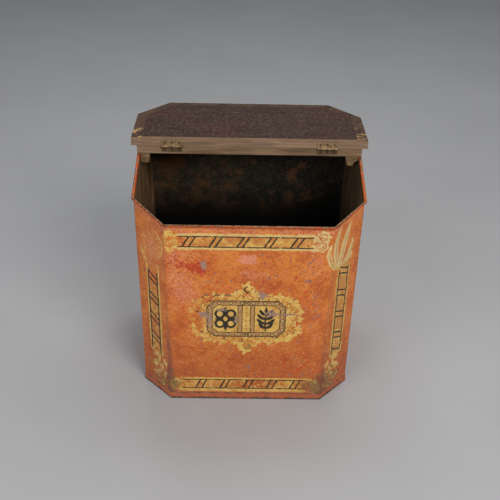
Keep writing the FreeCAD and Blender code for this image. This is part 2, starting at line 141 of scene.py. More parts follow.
class Graph:
    """A node tree with short names for the nodes used here."""

    def __init__(self, tree):
        self.tree = tree

    def node(self, kind, **settings):
        made = self.tree.nodes.new(kind)
        for key, value in settings.items():
            setattr(made, key, value)
        return made

    def feed(self, socket, value):
        if isinstance(value, bpy.types.NodeSocket):
            self.tree.links.new(value, socket)
        else:
            socket.default_value = value

    def place(self, scale=(1, 1, 1), shift=(0, 0, 0)):
        """Object coordinates, stretched and moved."""
        coords = self.node("ShaderNodeTexCoord")
        mapping = self.node("ShaderNodeMapping")
        self.tree.links.new(coords.outputs["Object"], mapping.inputs["Vector"])
        mapping.inputs["Scale"].default_value = scale
        mapping.inputs["Location"].default_value = shift
        return mapping.outputs["Vector"]

    def axis(self, name):
        coords = self.node("ShaderNodeTexCoord")
        split = self.node("ShaderNodeSeparateXYZ")
        self.tree.links.new(coords.outputs["Object"], split.inputs[0])
        return split.outputs[name]

    def facing(self, name):
        geometry = self.node("ShaderNodeNewGeometry")
        split = self.node("ShaderNodeSeparateXYZ")
        self.tree.links.new(geometry.outputs["Normal"], split.inputs[0])
        return split.outputs[name]

    def noise(self, scale, detail=3.0, rough=0.55, where=None, distort=0.0):
        made = self.node("ShaderNodeTexNoise")
        self.feed(made.inputs["Vector"], where if where is not None else self.place())
        made.inputs["Scale"].default_value = scale
        made.inputs["Detail"].default_value = detail
        made.inputs["Roughness"].default_value = rough
        made.inputs["Distortion"].default_value = distort
        return made.outputs["Fac"]

    def attribute(self, name):
        return self.node("ShaderNodeAttribute", attribute_name=name).outputs["Fac"]

    def math(self, operation, a, b=0.0, clamp=False):
        made = self.node("ShaderNodeMath", operation=operation, use_clamp=clamp)
        self.feed(made.inputs[0], a)
        self.feed(made.inputs[1], b)
        return made.outputs[0]

    def band(self, value, low, high, out_low=0.0, out_high=1.0):
        """A soft step from out_low to out_high while value goes from low to high."""
        made = self.node("ShaderNodeMapRange", interpolation_type="SMOOTHSTEP", clamp=True)
        for socket, number in zip(made.inputs, (value, low, high, out_low, out_high)):
            self.feed(socket, number)
        return made.outputs[0]

    def mix(self, factor, a, b, blend="MIX"):
        made = self.node("ShaderNodeMix", data_type="RGBA", blend_type=blend)
        self.feed(made.inputs[0], factor)
        self.feed(made.inputs[6], a)
        self.feed(made.inputs[7], b)
        return made.outputs[2]

    def ramp(self, value, stops):
        """Colours along a value; each stop is a position and a colour as seen on a screen."""
        made = self.node("ShaderNodeValToRGB")
        self.feed(made.inputs[0], value)
        elements = made.color_ramp.elements
        while len(elements) < len(stops):
            elements.new(0.5)
        for element, (position, *colour) in zip(elements, stops):
            element.position = position
            element.color = rgb(*colour)
        return made.outputs[0]

    def bump(self, height, distance, strength=1.0, under=None):
        made = self.node("ShaderNodeBump")
        made.inputs["Distance"].default_value = distance
        made.inputs["Strength"].default_value = strength
        self.feed(made.inputs["Height"], height)
        if under is not None:
            self.feed(made.inputs["Normal"], under)
        return made.outputs[0]


def material(name, recipe, specular=0.5):
    """A principled material; the recipe returns colour, roughness, metallic and normal."""
    made = bpy.data.materials.new(name)
    made.use_nodes = True
    graph = Graph(made.node_tree)
    shader = made.node_tree.nodes["Principled BSDF"]
    shader.inputs["Specular IOR Level"].default_value = specular
    colour, rough, metal, normal = recipe(graph)
    graph.feed(shader.inputs["Base Color"], colour)
    graph.feed(shader.inputs["Roughness"], rough)
    graph.feed(shader.inputs["Metallic"], metal)
    if normal is not None:
        graph.feed(shader.inputs["Normal"], normal)
    return made


def grouped(name, outputs, recipe):
    """A node group made once and used by many materials."""
    tree = bpy.data.node_groups.new(name, "ShaderNodeTree")
    for label, kind in outputs:
        tree.interface.new_socket(label, in_out="OUTPUT", socket_type=kind)
    graph = Graph(tree)
    last = graph.node("NodeGroupOutput")
    for socket, value in zip(last.inputs, recipe(graph)):
        graph.feed(socket, value)
    return tree


# ---------------------------------------------------------------- paint, gilt and ink
BARE = rgb(164, 130, 112)


def abrasion(g):
    """Patches rubbed to a grey-purple undercoat, the same wherever paint, gilt or ink lies."""
    level = g.math("ADD", g.noise(170, 4.0, 0.7), g.math("MULTIPLY", g.noise(13, 2.0), 0.25))
    level = g.math("ADD", level, g.math("MULTIPLY", g.attribute("bare"), 0.30))
    return g.band(level, 0.80, 0.85)


def paint_colour(g):
    mottled = g.noise(26, 4.0, 0.65)
    colour = g.ramp(mottled, [(0.30, 184, 90, 36), (0.46, 210, 112, 42), (0.60, 224, 134, 56),
                              (0.78, 200, 96, 42)])
    colour = g.mix(g.band(g.axis("Z"), 0.22, 0.03, 0.0, 0.6), colour, rgb(164, 78, 42))
    cloud = g.noise(9, 3.0, 0.6, g.place(shift=(4, 2, 1)))
    colour = g.mix(g.band(cloud, 0.55, 0.72, 0.0, 0.5), colour, rgb(190, 82, 38))
    grain = g.noise(190, 5.0, 0.8, g.place(shift=(7, 3, 9)))
    colour = g.mix(g.band(grain, 0.50, 0.34, 0.0, 0.55), colour, rgb(150, 66, 34))
    colour = g.mix(g.band(grain, 0.52, 0.70, 0.0, 0.60), colour, rgb(236, 154, 84))
    patchy = g.noise(240, 4.0, 0.8, g.place(shift=(3, 8, 4)))
    rubbed = g.math("MULTIPLY", g.math("SUBTRACT", patchy, 0.56), 2.6)
    pink = g.math("ADD", g.math("MULTIPLY", g.attribute("rub"), 0.50), rubbed)
    colour = g.mix(g.band(pink, 0.0, 0.40, 0.0, 0.8), colour, rgb(230, 148, 116))
    red_field = g.math("ADD", g.noise(150, 4.0, 0.75, g.place(shift=(9, 3, 5))),
                       g.math("MULTIPLY", g.attribute("red"), 0.22))
    colour = g.mix(g.band(red_field, 0.64, 0.72, 0.0, 0.85), colour, rgb(184, 48, 30))
    dirt = g.noise(260, 4.0, 0.75, g.place(shift=(1, 7, 2)))
    colour = g.mix(g.band(dirt, 0.565, 0.64, 0.0, 0.72), colour, rgb(126, 70, 56))
    fold = g.math("MULTIPLY", g.attribute("fold"), g.noise(70, 5.0, 0.75))
    colour = g.mix(g.band(fold, 0.20, 0.60, 0.0, 0.8), colour, rgb(124, 70, 60))
    # painted shadow: a dark line along the top of the skin, just under the rolled rim
    colour = g.mix(g.math("MULTIPLY", g.attribute("rim_shadow"), g.band(grain, 0.62, 0.40, 0.6, 1.0)),
                   colour, rgb(56, 28, 20))
    side = g.band(g.math("ABSOLUTE", g.axis("X")), 0.203, 0.206)
    runs = g.noise(24, 4.0, 0.65, g.place(scale=(1, 1, 0.14), shift=(2, 2, 2)))
    colour = g.mix(g.math("MULTIPLY", side, g.band(runs, 0.48, 0.72, 0.0, 0.65)), colour, rgb(120, 56, 36))
    scuffs = g.noise(60, 5.0, 0.75, g.place(scale=(1, 0.5, 1), shift=(5, 9, 1)))
    colour = g.mix(g.math("MULTIPLY", side, g.band(scuffs, 0.60, 0.68, 0.0, 0.6)), colour, rgb(88, 54, 42))
    colour = g.mix(abrasion(g), colour, BARE)
    return colour, g.math("SUBTRACT", g.math("MULTIPLY", grain, 0.6), g.math("MULTIPLY", dirt, 0.4))


PAINT = grouped("tin_paint", [("Colour", "NodeSocketColor"), ("Height", "NodeSocketFloat")], paint_colour)


def gilt_colour(g):
    tone = g.noise(90, 5.0, 0.75)
    colour = g.ramp(tone, [(0.28, 178, 124, 50), (0.42, 218, 170, 82), (0.58, 234, 192, 104),
                           (0.80, 244, 212, 140)])
    fine = g.noise(330, 4.0, 0.75, g.place(shift=(3, 3, 3)))
    colour = g.mix(g.band(fine, 0.56, 0.68, 0.0, 0.8), colour, rgb(150, 96, 44))
    stain = g.noise(30, 4.0, 0.65, g.place(shift=(6, 1, 8)))
    colour = g.mix(g.band(stain, 0.50, 0.66, 0.0, 0.75), colour, rgb(196, 122, 52))
    mottle = g.noise(48, 4.0, 0.7, g.place(shift=(5, 6, 2)))
    brown = g.math("MULTIPLY", g.attribute("stain"), g.band(mottle, 0.40, 0.60))
    colour = g.mix(g.math("MULTIPLY", brown, 0.75), colour, rgb(194, 124, 62))
    colour = g.mix(g.math("MULTIPLY", g.attribute("pale"), 0.7), colour, rgb(228, 200, 142))
    grime = g.math("MULTIPLY", g.attribute("fold"), g.noise(80, 4.0, 0.7, g.place(shift=(1, 2, 7))))
    colour = g.mix(g.band(grime, 0.22, 0.50, 0.0, 0.8), colour, rgb(118, 94, 60))
    colour = g.mix(abrasion(g), colour, BARE)
    return colour, fine


GILT = grouped("aged_gilt", [("Colour", "NodeSocketColor"), ("Height", "NodeSocketFloat")], gilt_colour)


def use(g, tree):
    return g.node("ShaderNodeGroup", node_tree=tree)


def skin_recipe(g):
    paint, gilt = use(g, PAINT), use(g, GILT)
    ragged = g.math("MULTIPLY", g.math("SUBTRACT", g.noise(210, 4.0, 0.75), 0.5), 11.0)
    kept = g.band(g.math("ADD", g.attribute("gilt"), ragged), 0.5, -0.5)
    flake = g.math("ADD", g.math("MULTIPLY", g.noise(480, 3.0, 0.75, g.place(shift=(2, 5, 4))), 0.45),
                   g.math("MULTIPLY", g.noise(110, 4.0, 0.7, g.place(shift=(8, 5, 4))), 0.55))
    lost = g.band(g.math("ADD", flake, g.math("MULTIPLY", g.attribute("worn"), 0.30)), 0.64, 0.69)
    mask = g.math("MULTIPLY", kept, g.math("SUBTRACT", 1.0, lost))
    colour = g.mix(mask, paint.outputs[0], gilt.outputs[0])
    rough = g.band(g.noise(90, 3.0), 0.3, 0.75, 0.40, 0.64)
    height = g.math("ADD", paint.outputs[1], g.math("MULTIPLY", mask, 0.2))
    return colour, rough, g.math("MULTIPLY", mask, 0.1), g.bump(height, 0.0006, 0.7)


def ink_recipe(dark, under, wear):
    """Brushwork that wears through to the colour under it; a lower wear bares more."""
    def recipe(g):
        bare = g.band(g.noise(330, 3.0, 0.7, g.place(shift=(5, 5, 1))), wear, wear + 0.07)
        tone = g.mix(g.noise(120, 2.0), dark, [c * 1.9 for c in dark[:3]] + [1.0])
        colour = g.mix(bare, tone, under)
        colour = g.mix(abrasion(g), colour, BARE)
        return colour, 0.55, 0.0, g.bump(g.noise(300, 3.0), 0.0003, 0.5)
    return recipe


M_SKIN = material("painted_skin", skin_recipe, 0.35)
M_INK = material("black_brushwork", ink_recipe(rgb(40, 32, 22), rgb(150, 108, 60), 0.64))
M_OCHRE = material("ochre_brushwork", ink_recipe(rgb(158, 92, 34), rgb(206, 152, 72), 0.56))
M_BROWN = material("border_wash", ink_recipe(rgb(150, 108, 66), rgb(208, 160, 92), 0.50))
M_CREAM = material("gilt_beads", ink_recipe(rgb(204, 168, 104), rgb(140, 100, 52), 0.58))
M_RED = material("red_scratches", ink_recipe(rgb(176, 42, 24), rgb(198, 92, 42), 0.58))
M_PALE = material("pale_scratches", ink_recipe(rgb(214, 142, 100), rgb(205, 108, 54), 0.52))
M_SOOT = material("soot_marks", ink_recipe(rgb(92, 72, 46), rgb(176, 132, 74), 0.52))
M_NICK = material("grey_nicks", ink_recipe(rgb(132, 94, 80), rgb(186, 100, 62), 0.54))


# ---------------------------------------------------------------- gilt shapes, as distances
# Each d_ function gives the distance of (s, z) from a shape in millimetres, below 0 inside it.
def d_box(s, z, s0, s1, z0, z1, corner=0.0):
    dx = np.abs(s - (s0 + s1) / 2) - (s1 - s0) / 2 + corner
    dz = np.abs(z - (z0 + z1) / 2) - (z1 - z0) / 2 + corner
    return np.hypot(np.maximum(dx, 0), np.maximum(dz, 0)) + np.minimum(np.maximum(dx, dz), 0) - corner


def d_petals(s, z, cs, cz, radius, petals, depth, turn=0.0):
    """Roughly the distance to a round shape with a wavy edge."""
    r = np.hypot(s - cs, z - cz)
    a = np.arctan2(z - cz, s - cs)
    return r - radius * (1 + depth * np.cos(petals * a + turn))


def d_stroke(s, z, points, widths):
    """Distance to a brush stroke through points, as wide at each as widths says."""
    best = np.full(s.shape, 1e3)
    for (a, b), (wa, wb) in zip(zip(points, points[1:]), zip(widths, widths[1:])):
        ax, az, bx, bz = *a, *b
        length2 = max((bx - ax) ** 2 + (bz - az) ** 2, 1e-9)
        t = np.clip(((s - ax) * (bx - ax) + (z - az) * (bz - az)) / length2, 0, 1)
        gap = np.hypot(s - ax - t * (bx - ax), z - az - t * (bz - az)) - (wa + t * (wb - wa)) / 2
        best = np.minimum(best, gap)
    return best


def curve(points, steps=10):
    """A smooth line through points."""
    out = []
    ends = [points[0]] + list(points) + [points[-1]]
    for a, b, c, d in zip(ends, ends[1:], ends[2:], ends[3:]):
        for i in range(steps):
            t = i / steps
            out.append(tuple(0.5 * (2 * q + (r - p) * t + (2 * p - 5 * q + 4 * r - w) * t * t
                                    + (3 * q - p - 3 * r + w) * t ** 3)
                             for p, q, r, w in zip(a, b, c, d)))
    return out + [tuple(points[-1])]


def spiral(cs, cz, start_radius, end_radius, start, turns, steps=26):
    """Points of a spiral or arc round (cs, cz) from the angle start, through a number of turns."""
    out = []
    for i in range(steps + 1):
        t = i / steps
        a = start + turns * 2 * math.pi * t
        r = start_radius + (end_radius - start_radius) * t
        out.append((cs + r * math.cos(a), cz + r * math.sin(a)))
    return out


def taper(count, widest, tip=0.3):
    """Widths for a stroke of count points, thin at both ends."""
    swell = [math.sin(math.pi * min(1.0, (i + 0.6) / count)) ** 0.7 for i in range(count)]
    return [tip + (widest - tip) * part for part in swell]


# middle of the cartouche
MIDDLE = (-2.0, 201.5)
# gilt bands on the front: bottom, top, left end, right end
BANDS = ((354.5, 388.5, -127, 118), (18, 54.5, -128, 122))
# ink in them: lower line, upper line, left end, right end, lean of the slanted lines, first pair, pitch
BAND_INK = ((360.5, 382.0, -126, 115, 13.0, -118, 48.0), (26.5, 49.0, -128, 118, 10.0, -99, 46.5))
# ladders on the cants: uprights, measured from the front fold, and the foot of the uprights
LADDER_NEAR, LADDER_FAR, LADDER_FOOT = 26.5, 52, 98
# how far each end of a rung lies above or below its middle
RUNG_SLANT = 5.6
# ladders: side, head of the uprights, topmost rung, pitch, gap in a pair, width of a rung
LADDERS = ((1, 302, 303, 50.5, 12.5, 3.1), (-1, 290, 280, 46.8, 13.3, 3.8))


def foliage():
    """Leaf sprays round the cartouche: place from its middle, size, and heading in degrees."""
    sprays = [(0, end * 71, 15, end * 90) for end in (-1, 1)]
    sprays += [(side * 9, end * 57, 13.5, end * (90 - side * 35)) for end in (-1, 1) for side in (-1, 1)]
    # the rest stand on an oval with squared shoulders; at the left every other one is smaller
    count = 34
    for k in range(count):
        a = 2 * math.pi * k / count
        across, up = math.cos(a), math.sin(a)
        ds = 98 * math.copysign(abs(across) ** 0.62, across)
        dz = 52 * math.copysign(abs(up) ** 0.62, up)
        size = 11 + 2 * math.sin(2.4 * k) - (3.5 if across < -0.7 and k % 2 else 0)
        sprays.append((ds, dz, size, math.degrees(math.atan2(1.6 * up, across))))
    return sprays


SPRAYS = foliage()


def drop(root, angle, length, wide):
    """A leaf: a stroke that swells and ends in a point."""
    bend = 0.35 * (1 if (root[0] + root[1]) % 2 > 1 else -1)
    points = []
    for i in range(4):
        a = angle + bend * i / 3
        points.append((root[0] + length * i / 3 * math.cos(a), root[1] + length * i / 3 * math.sin(a)))
    return points, [wide * 0.55, wide, wide * 0.8, 0.4]


def plume(root, way, length, bend, widest):
    """A long leaf that sets off from its root at way degrees and turns by bend degrees."""
    (t, z), points = root, []
    for i in range(7):
        points.append((t, z))
        a = math.radians(way + bend * i / 6)
        t, z = t + length / 6 * math.cos(a), z + length / 6 * math.sin(a)
    line = curve(points, 3)
    return line, taper(len(line), widest, 1.0)


# a fan of leaves at the head of the right cant, and one leaf under the rosette of the left one
FAN = [plume((24, 306), way, length, bend, widest) for way, length, bend, widest in
       ((150, 74, -90, 9), (118, 96, -62, 13), (84, 94, -20, 15), (34, 66, 60, 11), (8, 46, 70, 9))]
TAIL = plume((44, 338), 0, 50, -170, 13)
# rosettes at the ends of the front's two bands: centre, size
ROSETTES = [(-138, 372, 16), (-137, 36, 16), (128, 366, 13), (132, 384, 12), (131, 37, 16)]


def gilt_distance(s, z):
    """Distance from all the gilding: bands, rosettes, cartouche with its foliage, ladders and leaves."""
    d = np.full(s.shape, 1e3)
    for z0, z1, s0, s1 in BANDS:
        d = np.minimum(d, d_box(s, z, s0, s1, z0, z1, 1.0))
    for cs, cz, r in ROSETTES + [(-142, 386, 9), (-141, 357, 9), (120, 377, 8), (141, 25, 9)]:
        d = np.minimum(d, d_petals(s, z, cs, cz, r, 7, 0.13, cs))
    for cs, cz, r in ROSETTES:
        hollow = spiral(cs, cz, r * 0.55, r * 0.3, 0.4 + cs, 0.8, 10)
        d = np.maximum(d, -d_stroke(s, z, hollow, [2.2] * 11))
    cs, cz = MIDDLE
    d = np.minimum(d, d_box(s, z, cs - 85, cs + 94, cz - 52, cz + 51, 20))
    for end in (-1, 1):
        d = np.minimum(d, d_petals(s, z, cs, cz + end * 58, 13, 5, 0.12))
    for ds, dz, size, way in SPRAYS:
        for fan, part in ((-62, 0.85), (0, 1.15), (62, 0.85)):
            points, widths = drop((cs + ds, cz + dz), math.radians(way + fan), size * part, size * 0.62)
            d = np.minimum(d, d_stroke(s, z, points, widths))
    for ds, dz, size, way in SPRAYS[1::2]:
        hook = spiral(cs + ds * 0.97, cz + dz * 0.97, size * 0.34, size * 0.2, math.radians(way), 0.55, 8)
        d = np.maximum(d, -d_stroke(s, z, hook, [1.5] * 9))
    for side in (-1, 1):
        t = side * s - FRONT_HALF
        d = np.minimum(d, d_box(t, z, LADDER_NEAR - 6.5, LADDER_FAR + 5.5, LADDER_FOOT - 3, 308, 1.0))
        for k in range(14):
            root = (31 + 14 * math.sin(2.4 * k), 90 - 5 * k)
            for fan in (-70, 0, 70):
                points, widths = drop(root, math.radians(75 * k + fan), 12, 6.8)
                d = np.minimum(d, d_stroke(t, z, points, widths))
    t = s - FRONT_HALF
    for points, widths in FAN:
        d = np.minimum(d, d_stroke(t, z, points, widths))
    t = -s - FRONT_HALF
    d = np.minimum(d, d_petals(t, z, 34, 354, 30, 9, 0.10))
    d = np.minimum(d, d_stroke(t, z, *TAIL))
    return d


# soft patches of wear on the front and cants: place (s, z), reach (s, z), amount
RUBBED = ((-128, 296, 20, 62, 0.6), (-106, 262, 22, 32, 0.65), (10, 302, 26, 12, 0.75),
          (-186, 340, 30, 50, 0.6), (122, 332, 22, 36, 0.5), (-120, 345, 60, 12, 0.35),
          (130, 190, 8, 90, 0.3))
REDDENED = ((-98, 318, 24, 18, 1.1), (-98, 322, 26, 4, 0.45), (-84, 308, 10, 6, 0.6),
            (-130, 330, 14, 24, 0.5), (90, 250, 55, 80, 0.35), (-140, 120, 20, 60, 0.35))
BARED = ((-80, 323, 7, 13, 1.35), (28, 257, 9, 11, 1.2), (45, 214, 13, 8, 1.3), (-22, 197, 6, 14, 1.1),
         (-49, 223, 13, 6, 1.15), (-82, 211, 13, 8, 1.1), (-70, 195, 8, 13, 1.0), (80, 213, 24, 1.3, 1.7),
         (-132, 200, 13, 80, 0.25), (-62, 287, 30, 14, 0.25), (124, 220, 14, 70, 0.4),
         (58, 291, 60, 30, 0.22))
GILT_WORN = ((-184, 356, 60, 68, 0.72), (-90, 201.5, 24, 60, 0.44), (-62, 247.5, 40, 10, 0.45),
             (-47, 153.5, 36, 7, 0.4), (16, 36, 40, 18, 0.35), (135, 30, 30, 22, 0.3),
             (-2, 267.5, 30, 16, 0.2))
GRIMY = ((128, 36, 30, 22, 1.0), (-132, 40, 16, 22, 0.5))


def spots(s, z, patches):
    total = np.zeros_like(s)
    for cs, cz, rs, rz, much in patches:
        total = total + much * np.exp(-((s - cs) / rs) ** 2 - ((z - cz) / rz) ** 2)
    return total


def wear_fields(s, z, top):
    """How rubbed, reddened, grimy or bare the paint is at each place, and where a painted shadow lies under
    the rim; top is the rim's height there.
    """
    t = np.abs(s) - FRONT_HALF
    cant = t > 2
    ladder = (t > LADDER_NEAR - 1.5) & (t < LADDER_FAR + 1) & (z > LADDER_FOOT - 1) & (z < 306)
    # the inked strip inside each band, and the gilt edges above and below it
    inner = (np.abs(s) < 126) & (((z > 361) & (z < 382)) | ((z > 27) & (z < 49)))
    edges = (np.abs(s) < 126) & (((z > 353) & (z < 390)) | ((z > 16) & (z < 56))) & ~inner
    chip = 2.6 * np.exp(-((s + 1) / 14) ** 4 - ((z - 335) / 8.5) ** 4)
    lip = np.exp(-((top - z - 9) / 8) ** 2)
    foot = np.exp(-((z - 14) / 8) ** 2)
    front_fold = np.exp(-((t - 1) / 10) ** 2) * np.clip((350 - z) / 200, 0.12, 1)
    side_fold = np.exp(-((t - CANT_LENGTH) / 5) ** 2)
    cant_foot = spots(t, z, ((26, 34, 34, 26, 0.9),))
    upper_right = (s > 112) * (z > 312)
    return {
        "rub": spots(s, z, RUBBED) + chip + 0.6 * lip + 0.5 * foot,
        "red": spots(s, z, REDDENED) + 0.5 * foot,
        "fold": front_fold * np.where(s < 0, 1.0, 0.7) + 0.5 * side_fold + cant_foot + spots(s, z, GRIMY),
        "worn": (0.10 + spots(s, z, GILT_WORN) + 0.16 * (z < 94) * cant + 0.30 * inner
                 + ladder * np.where(s < 0, 0.44, 0.28)),
        "pale": np.clip(upper_right + 0.35 * cant * (z < 95) + edges * np.where(z > 300, 0.6, 0.1), 0, 1),
        "stain": inner | ladder,
        # painted shadow of the rolled rim: a dark line just under it
        "rim_shadow": np.exp(-((top - z) / 3.8) ** 2),
        "bare": spots(s, z, BARED)}


def set_attributes(piece, fields):
    for name, values in fields.items():
        data = piece.data.attributes.new(name, "FLOAT", "POINT")
        data.data.foreach_set("value", np.asarray(values, np.float32).ravel())


# ---------------------------------------------------------------- the painted skin
def frange(start, stop, step):
    count = max(1, round((stop - start) / step))
    return [start + (stop - start) * i / count for i in range(count)]


fold_a = FRONT_HALF
fold_b = SIDE_START
stops = (frange(0, fold_a - 3, 2.0) + frange(fold_a - 3, fold_a + 3, 0.5)
         + frange(fold_a + 3, fold_b - 3, 2.0) + frange(fold_b - 3, fold_b + 3, 0.5)
         + frange(fold_b + 3, SKIN_END, 6.0) + [SKIN_END])
columns = [-s for s in reversed(stops[1:])] + stops
ROWS = 196
grid_s = np.zeros((len(columns), ROWS + 1))
grid_z = np.zeros_like(grid_s)
vertices = []
for i, s in enumerate(columns):
    x, y, nx, ny = wall_point(s)
    top = rim_z(y) - 1.4
    for j in range(ROWS + 1):
        z = FOOT_TOP + 0.05 + (top - FOOT_TOP - 0.05) * j / ROWS
        out = dent(s, z)
        vertices.append((x + nx * out, y + ny * out, z))
        grid_s[i, j] = s
        grid_z[i, j] = z
faces = []
for i in range(len(columns) - 1):
    for j in range(ROWS):
        a = i * (ROWS + 1) + j
        faces.append((a, a + ROWS + 1, a + ROWS + 2, a + 1))
skin = new_mesh("tin_skin", vertices, faces, M_SKIN)
top_line = np.array([[rim_z(wall_point(s)[1])] * (ROWS + 1) for s in columns])
set_attributes(skin, {"gilt": gilt_distance(grid_s, grid_z), **wear_fields(grid_s, grid_z, top_line)})


# ---------------------------------------------------------------- brushwork on the skin
class Brush:
    """Collects flat strokes lying on the skin and makes one piece of them.

    lift is their height above the skin in millimetres; each brush has its own, so that no two layers
    lie in one plane.
    """

    def __init__(self, lift):
        self.lift = lift
        self.places = []
        self.faces = []

    def stroke(self, points, widths, closed=False):
        if not isinstance(widths, (list, tuple)):
            widths = [widths] * len(points)
        count = len(points)
        base = len(self.places)
        for i, (s, z) in enumerate(points):
            before = points[i - 1] if i or closed else points[0]
            after = points[(i + 1) % count] if i < count - 1 or closed else points[-1]
            ds, dz = after[0] - before[0], after[1] - before[1]
            size = math.hypot(ds, dz) or 1.0
            for side in (-1, 1):
                half = side * widths[i] / 2
                self.places.append((s - dz / size * half, z + ds / size * half))
        for i in range(count if closed else count - 1):
            a = base + 2 * i
            b = base + 2 * ((i + 1) % count)
            self.faces.append((a, b, b + 1, a + 1))

    def line(self, start, end, width, wobble=0.5):
        steps = max(3, int(math.dist(start, end) / 3.0))
        points = []
        for i in range(steps + 1):
            t = i / steps
            sway = wobble * noise.noise(Vector((start[0] + t * 9, end[1] + t * 7, width)))
            points.append((start[0] + (end[0] - start[0]) * t + sway,
                           start[1] + (end[1] - start[1]) * t + sway))
        widths = [width * random.uniform(0.75, 1.2) for _ in points]
        widths[0] = widths[-1] = width * 0.6
        self.stroke(points, widths)

    def loop(self, s, z, radius, width, tall=1.0):
        self.stroke([(s + radius * math.cos(a), z + tall * radius * math.sin(a))
                     for a in np.linspace(0, 2 * math.pi, 17)[:-1]], width, closed=True)

    def piece(self, name, paint):
        vertices = [on_skin(s, z, self.lift) for s, z in self.places]
        made = new_mesh(name, vertices, self.faces, paint, smooth=False)
        s, z = np.array(self.places).T
        set_attributes(made, wear_fields(s, z, z + 50))


ink = Brush(0.18)
ochre = Brush(0.14)
wash = Brush(0.10)
cream = Brush(0.22)
soot = Brush(0.15)

# bands on the front: two long lines with slanted pairs between them
for z0, z1, s0, s1, lean, first, pitch in BAND_INK:
    for z in (z0, z1):
        for cut in range(4):
            step = (s1 - s0) / 4
            ink.line((s0 + cut * step + (1.5 if cut else 0), z), (s0 + cut * step + step, z), 2.3)
    for k in range(5):
        for gap in (0, 10.8):
            s = first + pitch * k + gap + random.uniform(-0.8, 0.8)
            ink.line((s, z0), (s + lean, z1), 3.0)
# ladders up the canted corners: two uprights with pairs of slanted rungs
for side, head, top, pitch, gap, width in LADDERS:
    near, far = side * (FRONT_HALF + LADDER_NEAR), side * (FRONT_HALF + LADDER_FAR)
    for s in (near, far):
        ink.line((s, LADDER_FOOT), (s, head), width - 0.6)
    rungs = [top - pitch * k - drop_by for k in range(4) for drop_by in (0, gap)]
    for z in rungs + ([109] if side > 0 else []):
        ink.line((near, z + side * RUNG_SLANT), (far, z - side * RUNG_SLANT), width)

# cartouche: border with cut corners and linked rings, two panels and a pillar between them
cs, cz = MIDDLE


def cut_corner_loop(half_s, half_z, cut):
    """Points round a box with cut corners, about 3 mm apart."""
    inner_s, inner_z = half_s - cut, half_z - cut
    corners = [(inner_s, half_z), (-inner_s, half_z), (-half_s, inner_z), (-half_s, -inner_z),
               (-inner_s, -half_z), (inner_s, -half_z), (half_s, -inner_z), (half_s, inner_z)]
    out = []
    for a, b in zip(corners, corners[1:] + corners[:1]):
        steps = max(1, int(math.dist(a, b) / 3))
        out += [(cs + a[0] + (b[0] - a[0]) * i / steps, cz + a[1] + (b[1] - a[1]) * i / steps)
                for i in range(steps)]
    return out


wash.stroke(cut_corner_loop(68.5, 37, 12), 9.0, closed=True)
for half_s, half_z, cut, width in ((73.5, 41.8, 14, 1.9), (63.5, 32, 10, 1.5), (70.5, 39, 13, 0.7)):
    ink.stroke(cut_corner_loop(half_s, half_z, cut), width, closed=True)
ring = cut_corner_loop(68.5, 37, 12)
for k in range(0, len(ring), 7):
    ink.loop(*ring[k], 3.3, 1.1)
    cream.loop(*ring[k], 1.9, 0.9)
    if k + 5 < len(ring):
        ink.stroke(ring[k + 2:k + 6], [0.4, 1.6, 1.6, 0.4])
        cream.stroke(ring[k + 2:k + 5], [0.3, 0.8, 0.3])
for ds in (-11.5, 11.5):
    wash.line((cs + ds, cz - 33), (cs + ds, cz + 33), 7.0)
    ink.line((cs + ds - 3.8, cz - 33), (cs + ds - 3.8, cz + 33), 1.5)
    ink.line((cs + ds + 3.8, cz - 33), (cs + ds + 3.8, cz + 33), 1.5)
for k in range(6):
    z = cz - 25 + 10 * k
    ochre.stroke([(cs, z - 3.4), (cs + 2.2, z), (cs, z + 3.4), (cs - 2.2, z)], 1.3, closed=True)
for end in (-1, 1):
    for side in (-1, 1):
        curl = spiral(cs + side * 4, cz + end * 36.5, 3.6, 1.0, math.pi / 2 * (1 + side), -1.2 * side)
        ink.stroke(curl, 1.2)

# left panel: a knot of four loops round a lozenge
kx, kz = cs - 39, cz
for a in range(4):
    turn = math.pi / 4 + a * math.pi / 2
    ink.loop(kx + 14.5 * math.cos(turn), kz + 16 * math.sin(turn), 8.2, 5.0, 1.05)
    tip = a * math.pi / 2
    reach_s, reach_z = 20 * math.cos(tip), 28 * math.sin(tip)
    ink.stroke([(kx + reach_s * f, kz + reach_z * f) for f in (0.2, 0.5, 0.75, 1.0)], [7.0, 4.2, 6.4, 0.8])
# right panel: an upright sprig with leaves in pairs
stem = curve([(cs + 37, cz - 29), (cs + 36, cz - 8), (cs + 37.5, cz + 16)], 8)
ink.stroke(stem, taper(len(stem), 3.2, 1.6))
for up, reach in ((-21, 13), (-11, 16.5), (0, 16), (10, 12)):
    for side in (-1, 1):
        line = curve([(cs + 37 + side * part * reach, cz + up + rise)
                      for part, rise in ((0, 0), (0.55, 3.5), (1, 12))], 6)
        ink.stroke(line, taper(len(line), 7.0, 0.4))
ink.stroke([(cs + 37.5, cz + 12), (cs + 37.3, cz + 20), (cs + 37, cz + 30)], [1.5, 6.5, 0.4])

# darker touches inside the gilt foliage, rosettes and corner scrolls
for k, (ds, dz, size, way) in enumerate(SPRAYS):
    turns = 0.9 if k % 2 else -0.9
    curl = spiral(cs + ds * 0.9, cz + dz * 0.88, size * 0.5, size * 0.12, math.radians(way + 80), turns)
    ochre.stroke(curl, taper(len(curl), 2.6, 0.4))
    if k % 2 == 0:
        dab = [(cs + ds * reach + right, cz + dz * rise)
               for reach, rise, right in ((0.97, 0.95, 0), (0.97, 0.90, 2), (0.95, 0.86, 3))]
        (ink if k % 4 else ochre).stroke(dab, [0.8, 3.4, 0.8])
for k in range(3):
    start = cs - 84 + 21 * k
    arc = curve([(start, cz + 47 + 3 * k), (start + 8, cz + 55), (start + 15, cz + 53)], 6)
    soot.stroke(arc, taper(len(arc), 3.4, 0.6))
for end in (-1, 1):
    arc = spiral(cs + 2, cz + end * 67, 6.5, 5.0, math.pi / 2, 0.7 * end, 12)
    (ink if end > 0 else soot).stroke(arc, taper(len(arc), 3.0, 0.6))
